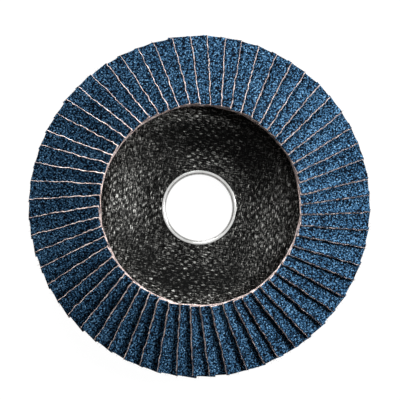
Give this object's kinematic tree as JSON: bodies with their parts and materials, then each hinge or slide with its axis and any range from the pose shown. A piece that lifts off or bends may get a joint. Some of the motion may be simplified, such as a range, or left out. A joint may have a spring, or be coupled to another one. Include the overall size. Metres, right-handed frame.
{
  "type": "flap disc",
  "caption": "Conical flap disc: overlapping flaps of blue abrasive cloth glued on a moulded backing plate with a recessed hub and a steel-lined arbor hole.",
  "frame": {"origin": "centre of the arbor hole, in the hub's back face, which the disc lies on", "axes": "+Z along the arbor hole, out of the abrasive side; +Y is up in the picture"},
  "size_m": [0.1158, 0.1158, 0.0136],
  "materials": {
    "plate": "black glass-fibre moulding, satin, with the weave showing",
    "ring": "satin pressed steel",
    "glue": "cured resin",
    "flaps": "coarse blue grain on pale cloth"
  },
  "bodies": {
    "root": {"backing_plate": "plate", "arbor_ring": "ring", "glue_bed": "glue", "flap_pair_01": "flaps", "flap_pair_02": "flaps", "flap_pair_03": "flaps", "flap_pair_04": "flaps", "flap_pair_05": "flaps", "flap_pair_06": "flaps", "flap_pair_07": "flaps", "flap_pair_08": "flaps", "flap_pair_09": "flaps", "flap_pair_10": "flaps", "flap_pair_11": "flaps", "flap_pair_12": "flaps", "flap_pair_13": "flaps", "flap_pair_14": "flaps", "flap_pair_15": "flaps", "flap_pair_16": "flaps", "flap_pair_17": "flaps", "flap_pair_18": "flaps", "flap_pair_19": "flaps", "flap_pair_20": "flaps", "flap_pair_21": "flaps", "flap_pair_22": "flaps", "flap_pair_23": "flaps", "flap_pair_24": "flaps", "flap_pair_25": "flaps", "flap_pair_26": "flaps", "flap_pair_27": "flaps", "flap_pair_28": "flaps", "flap_pair_29": "flaps", "flap_pair_30": "flaps"}
  },
  "joints": []
}
